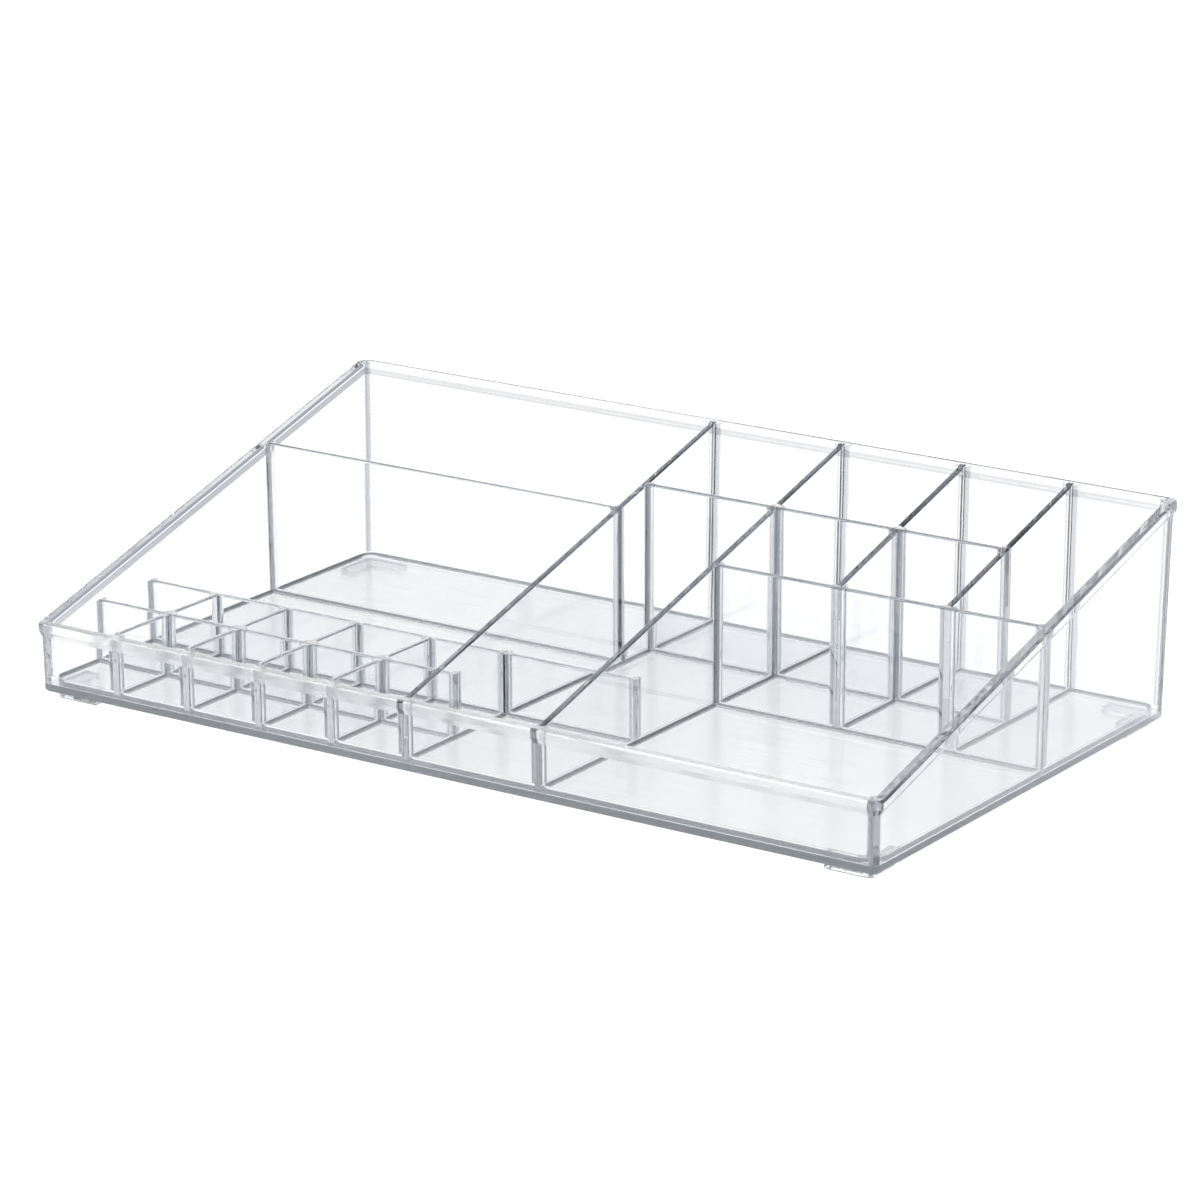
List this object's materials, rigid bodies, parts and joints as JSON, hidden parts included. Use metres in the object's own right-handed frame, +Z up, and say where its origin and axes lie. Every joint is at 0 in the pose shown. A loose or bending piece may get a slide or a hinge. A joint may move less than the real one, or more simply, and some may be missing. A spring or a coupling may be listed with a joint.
{
  "type": "vanity organizer",
  "caption": "Clear open-topped vanity organizer with sloping sides, small lipstick cells, bins behind cross walls and an open front tray, standing on low corner feet.",
  "frame": {"origin": "under the middle of the whole object, on the plane of the feet's undersides", "axes": "+X to the right when facing the low front lip, +Y to the tall back wall, +Z up"},
  "size_m": [0.349, 0.199, 0.082],
  "materials": {
    "clear_base": "clear, polished",
    "clear_wall": "clear, polished",
    "clear_panel": "clear, polished",
    "clear_foot": "clear, polished"
  },
  "bodies": {
    "root": {"base_plate": "clear_base", "left_side_wall": "clear_wall", "right_side_wall": "clear_wall", "front_lip": "clear_wall", "back_wall": "clear_wall", "left_main_partition": "clear_panel", "right_main_partition": "clear_panel", "centre_short_partition": "clear_panel", "right_short_partition": "clear_panel", "front_cross_wall": "clear_panel", "rear_cross_wall": "clear_panel", "left_rear_divider": "clear_panel", "lipstick_middle_rail": "clear_panel", "lipstick_back_rail": "clear_panel", "lipstick_divider_1": "clear_panel", "lipstick_divider_2": "clear_panel", "lipstick_divider_3": "clear_panel", "lipstick_divider_4": "clear_panel", "foot_front_left": "clear_foot", "foot_front_right": "clear_foot", "foot_rear_left": "clear_foot", "foot_rear_right": "clear_foot"}
  },
  "joints": []
}
